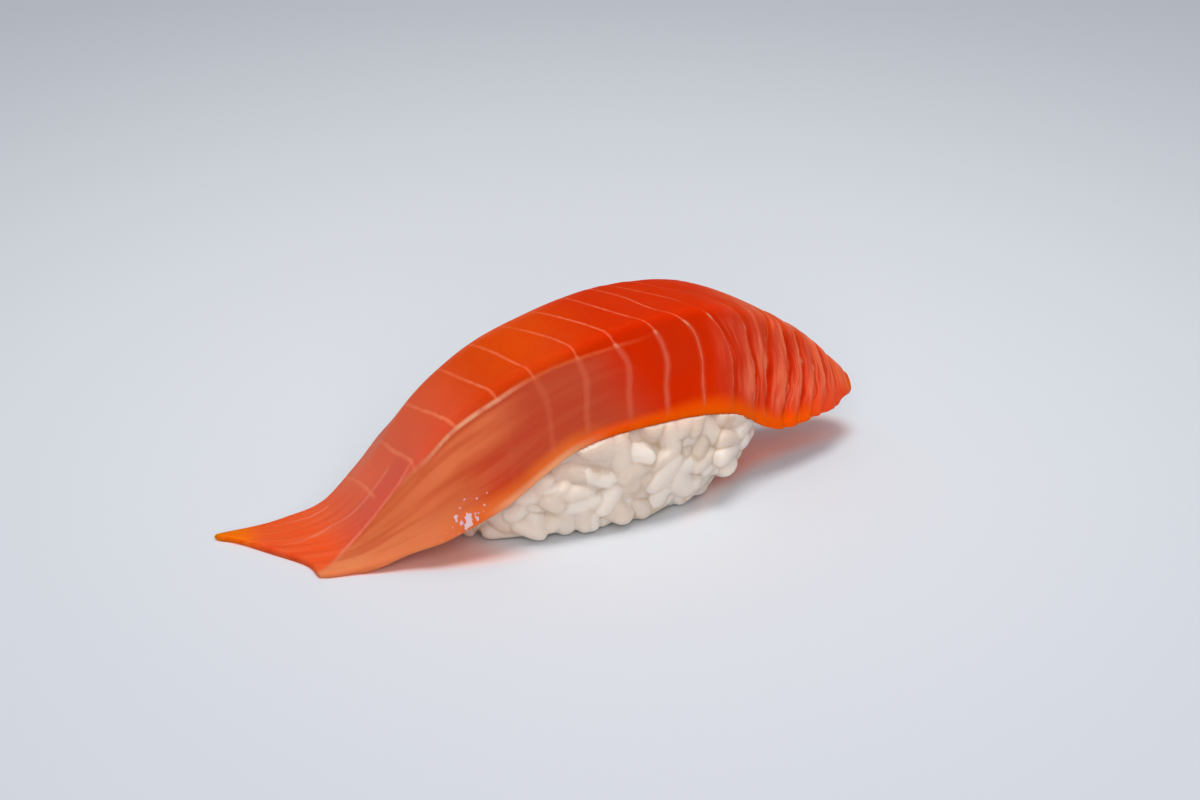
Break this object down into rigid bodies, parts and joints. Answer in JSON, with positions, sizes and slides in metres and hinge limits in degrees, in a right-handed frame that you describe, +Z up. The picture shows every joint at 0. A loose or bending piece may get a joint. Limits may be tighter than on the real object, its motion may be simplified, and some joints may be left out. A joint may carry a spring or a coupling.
{
  "type": "salmon nigiri",
  "caption": "Nigiri sushi: a long, thin-tailed slice of raw salmon draped over an oval block of pressed rice with its grains showing.",
  "frame": {"origin": "near the middle of the rice's flat underside, in the plane that the nigiri rests on", "axes": "+X along the slice from its thin tail to its thick end, +Y from the near side to the far side, +Z up"},
  "size_m": [0.1038, 0.0264, 0.033],
  "materials": {
    "salmon": "moist raw salmon, orange-red with pale flake lines",
    "rice": "moist cooked rice, warm off-white"
  },
  "bodies": {
    "root": {"salmon": "salmon", "rice": "rice"}
  },
  "joints": []
}
